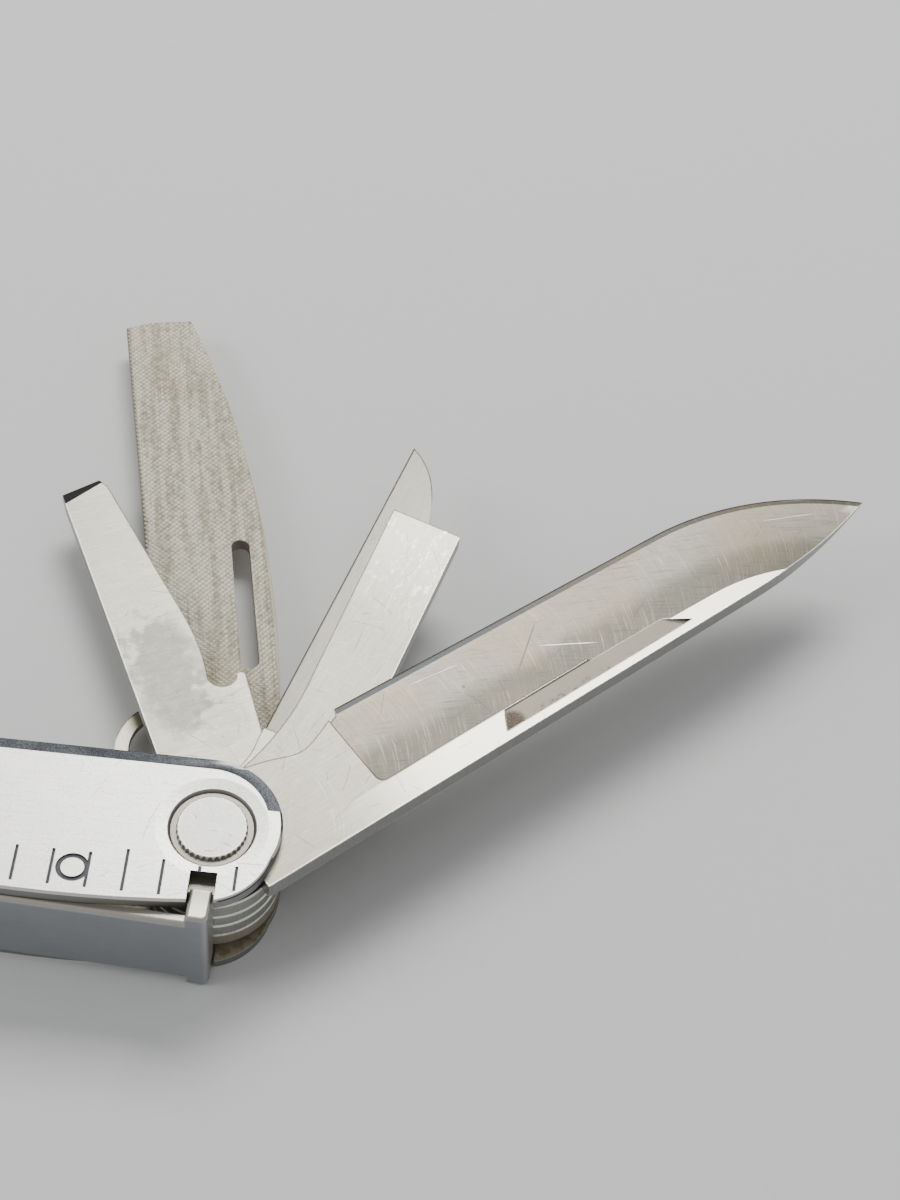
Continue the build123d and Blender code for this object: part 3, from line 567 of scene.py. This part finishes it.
def spring_finish():
    """Dark satin spring steel, with a painted highlight along its upper edge, on top of its cross head and
    on faces turned to the right, and painted shade on part of its up-facing flat.
    """
    steel = Finish("satin_spring_steel", roughness=0.36)
    x, y, z = steel.parts(steel.place)
    right, front, up = steel.parts(steel.normal)
    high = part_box("lock_spring_root")[1].z / MM
    grain = steel.noise(steel.moved(steel.place, stretch=(0.2, 4, 4)), 2.4, 4.0, 0.65)
    cloud = steel.noise(steel.place, 0.12, 4.0, 0.6)
    fine = steel.noise(steel.place, 9.0, 2.0, 0.6)
    marks = steel.dashes(steel.join(x, z, 0.0), 3.0, 3.0, 0.03, 5.0)
    colour = steel.mixed(cloud, tone(146, 150, 155), tone(164, 168, 171))
    colour = steel.mixed(steel.rise(grain, 0.4, 0.8) * 0.3, colour, tone(126, 129, 133))
    colour = steel.mixed(marks * 0.35, colour, tone(180, 180, 176))
    # painted highlight along the upper edge and on the up-facing faces, the cross head's top among them
    rubbed = steel.rise(z, high - 0.32, high - 0.1) * steel.rise(x, -1.6, -1.0, 1.0, 0.0)
    top = steel.rise(up, 0.25, 0.75).highest(rubbed * steel.rise(up, 0.08, 0.3))
    colour = steel.mixed(top, colour, steel.mixed(fine, tone(176, 171, 157), tone(208, 203, 190)))
    shaded = steel.rise(y, -8.6, -6.2) * steel.rise(up, 0.8, 0.95) * steel.rise(x, -1.4, -1.2)
    colour = steel.mixed(shaded * 0.6, colour, tone(112, 108, 96))
    # painted highlight on the faces turned to the right
    corner = steel.rise(right, 0.2, 0.8)
    colour = steel.mixed(corner * (1 - top) * 0.5, colour, tone(196, 194, 187))
    colour = steel.mixed(steel.at_edge * 0.5, colour, tone(226, 222, 210))
    height = grain * 0.004 + fine * 0.004 - marks * 0.005
    return steel.wear(Base_Color=colour, Roughness=0.3 + grain * 0.12, Normal=steel.bump(height))


# ---------------------------------------------------------------- new pieces

def finished(name, mesh, body, material):
    """A piece from a finished bmesh, riding on a body."""
    data = bpy.data.meshes.new(name)
    mesh.to_mesh(data)
    mesh.free()
    data.materials.append(material)
    piece = bpy.data.objects.new(name, data)
    bpy.context.scene.collection.objects.link(piece)
    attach(piece, body)
    return piece


def cut_along(mesh, point, outward, faces, drop=True):
    """Cuts some faces of a sheet along a line and drops what lies beyond it, unless told not to."""
    edges = {edge for face in faces for edge in face.edges}
    corners = {corner for face in faces for corner in face.verts}
    bmesh.ops.bisect_plane(
        mesh, geom=[*corners, *edges, *faces], dist=1e-9,
        plane_co=point, plane_no=outward, clear_outer=drop)


TOOTH_ROWS = 0.58 * MM
TOOTH_COLUMNS = 0.65 * MM
TOOTH_HEIGHT = 0.15 * MM
SKIN = 0.05 * MM
# the toothed area's outline, in the file's own frame, in millimetres
FILE_OUTLINE = (
    (10.6, 4.3), (10.6, -7.2), (19.2, -7.6), (26.0, -7.72), (33.0, -7.68), (40.0, -7.42), (46.0, -6.9),
    (52.0, -6.1), (58.0, -4.98), (64.0, -3.5), (70.2, -1.65), (70.1, 2.8), (69.5, 5.2), (40.5, 4.4),
)
SLOT_ENDS = (23.625, 37.875)
SLOT_Y = -5.05
SLOT_RADIUS = 0.93
SLOT_SIDES = 16
SLOT_CUT_REACH = (10 * MM, 1.6 * MM)
LATTICE_CELLS = 126
LATTICE_CENTRE = (40.4 * MM, -1 * MM)
OUTLINE_MIDDLE = (40 * MM, -1 * MM)
CUT_OVERRUN = 1.2 * MM


def outline_sides():
    """Each side of the file's outline: its start, middle, outward direction and half length."""
    sides = []
    for (x0, y0), (x1, y1) in zip(FILE_OUTLINE, FILE_OUTLINE[1:] + FILE_OUTLINE[:1]):
        start = Vector((x0 * MM, y0 * MM, 0))
        outward = Vector((y1 - y0, x0 - x1, 0)).normalized()
        if (Vector((*OUTLINE_MIDDLE, 0)) - start).dot(outward) > 0:
            outward = -outward
        middle = Vector(((x0 + x1) / 2 * MM, (y0 + y1) / 2 * MM, 0))
        sides.append((start, middle, outward, math.hypot(x1 - x0, y1 - y0) / 2 * MM))
    return sides


def slot_sides():
    """The slot's rounded outline as straight cuts: a point on each and its outward direction."""
    middle = Vector((sum(SLOT_ENDS) / 2 * MM, SLOT_Y * MM, 0))
    half_length = (SLOT_ENDS[1] - SLOT_ENDS[0]) / 2
    sides = []
    for side in range(SLOT_SIDES):
        turn = math.tau * side / SLOT_SIDES
        outward = Vector((math.cos(turn), math.sin(turn), 0))
        end = Vector((math.copysign(half_length, outward.x), 0, 0))
        sides.append((middle + (end + outward * SLOT_RADIUS) * MM, outward))
    return middle, sides


def file_teeth(name, height, upwards, material):
    """Double-cut teeth over one face of the file: a lattice of small pyramids, cut to the outline."""
    lattice = bmesh.new()
    bmesh.ops.create_grid(
        lattice, x_segments=LATTICE_CELLS, y_segments=LATTICE_CELLS, size=LATTICE_CELLS / 2)
    rows, columns = TOOTH_ROWS / 2, TOOTH_COLUMNS / 2
    slant = Matrix(((rows, rows, 0, 0), (columns, -columns, 0, 0), (0, 0, 1, 0), (0, 0, 0, 1)))
    centre = Matrix.Translation((*LATTICE_CENTRE, 0))
    bmesh.ops.transform(lattice, matrix=centre @ slant, verts=lattice.verts)
    for start, _, outward, _ in outline_sides():
        far = [face for face in lattice.faces if (face.calc_center_median() - start).dot(outward) > MM]
        bmesh.ops.delete(lattice, geom=far, context="FACES")
    bmesh.ops.recalc_face_normals(lattice, faces=lattice.faces)
    if lattice.faces[0].normal.z < 0:
        bmesh.ops.reverse_faces(lattice, faces=lattice.faces)
    bmesh.ops.poke(lattice, faces=lattice.faces, offset=TOOTH_HEIGHT)
    for start, middle, outward, half_length in outline_sides():
        reach = half_length + CUT_OVERRUN
        beside = [face for face in lattice.faces
                  if (face.calc_center_median() - middle).cross(outward).length < reach]
        cut_along(lattice, start, outward, beside)
    slot_middle, slot_cuts = slot_sides()
    for point, outward in slot_cuts:
        near = [face for face in lattice.faces
                if abs(face.calc_center_median().y - slot_middle.y) < SLOT_CUT_REACH[1]
                and abs(face.calc_center_median().x - slot_middle.x) < SLOT_CUT_REACH[0]]
        cut_along(lattice, point, outward, near, drop=False)
    inside = [face for face in lattice.faces if all(
        (face.calc_center_median() - point).dot(outward) < 0 for point, outward in slot_cuts)]
    bmesh.ops.delete(lattice, geom=inside, context="FACES")
    bmesh.ops.remove_doubles(lattice, verts=lattice.verts, dist=1e-6)
    bmesh.ops.solidify(lattice, geom=lattice.faces[:], thickness=SKIN)
    if not upwards:
        bmesh.ops.scale(lattice, vec=(1, 1, -1), verts=lattice.verts)
        bmesh.ops.reverse_faces(lattice, faces=lattice.faces)
    turned = Matrix.Rotation(math.radians(TOOL_ANGLES["file_blade"]), 4, "Z")
    place = Matrix.Translation((0, 0, height)) @ turned
    bmesh.ops.transform(lattice, matrix=place, verts=lattice.verts)
    return finished(name, lattice, "file", material)


WASHER_COUNT = 5

dress("handle_channel", handle_finish())
knob_material = knob_finish("turned_pivot_steel", tone(200, 199, 192), tone(168, 167, 160))
washer_material = knob_finish("rubbed_bronze", tone(176, 142, 92), tone(148, 116, 70))
spring_material = spring_finish()
for node in ("pivot_barrel", "pivot_stud", "end_barrel", "end_stud", "end_spacer", "spring_rivets"):
    dress(node, knob_material)
for node in ("lock_spring", "lock_spring_root"):
    dress(node, spring_material)
for count in range(1, WASHER_COUNT + 1):
    dress(f"pivot_washer_{count}", washer_material)
dress("main_blade", knife_finish())
dress("flat_driver", driver_finish())
dress("pen_blade", pen_finish())
dress("cap_lifter", lifter_finish())
dress("lanyard_ring", ring_finish())
file_material = file_finish()
dress("file_blade", file_material)
file_low, file_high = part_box("file_blade")
file_teeth("file_teeth_upper", file_high.z - TOOTH_HEIGHT, True, file_material)
file_teeth("file_teeth_lower", file_low.z + TOOTH_HEIGHT, False, file_material)


# ---------------------------------------------------------------- stage and light

FLOOR_HALF_SIZE = 1.5
FLOOR_GAP = 0.00002

floor_mesh = bmesh.new()
bmesh.ops.create_grid(floor_mesh, x_segments=1, y_segments=1, size=FLOOR_HALF_SIZE)
floor_data = bpy.data.meshes.new("floor")
floor_mesh.to_mesh(floor_data)
floor_mesh.free()
floor = bpy.data.objects.new("floor", floor_data)
floor.location = (0, 0, cad_box[0].z - FLOOR_GAP)
bpy.context.scene.collection.objects.link(floor)
floor_finish = Finish("pale_floor", metallic=0.0, roughness=0.75)
floor_cloud = floor_finish.noise(floor_finish.place, 0.6, 4.0, 0.6)
floor_colour = floor_finish.mixed(floor_cloud, tone(210, 210, 208), tone(216, 216, 214))
floor_data.materials.append(floor_finish.wear(Base_Color=floor_colour))

world = bpy.data.worlds.new("studio")
bpy.context.scene.world = world
world.use_nodes = True
backdrop = world.node_tree.nodes["Background"]
backdrop.inputs["Color"].default_value = (0.96, 0.97, 1.0, 1.0)
backdrop.inputs["Strength"].default_value = 0.5


def softbox(name, place, aim, width, height, power):
    """A rectangular studio light aimed at a point."""
    data = bpy.data.lights.new(name, "AREA")
    data.shape = "RECTANGLE"
    data.size, data.size_y = width, height
    data.energy = power
    lamp = bpy.data.objects.new(name, data)
    lamp.location = place
    lamp.rotation_euler = (Vector(aim) - Vector(place)).to_track_quat("-Z", "Y").to_euler()
    bpy.context.scene.collection.objects.link(lamp)


softbox("key_light", (0.04, 0.42, 0.56), (0, 0.02, 0), 0.36, 0.26, 4.0)
softbox("side_light", (-0.5, -0.1, 0.4), (0, 0, 0), 0.3, 0.3, 1.2)
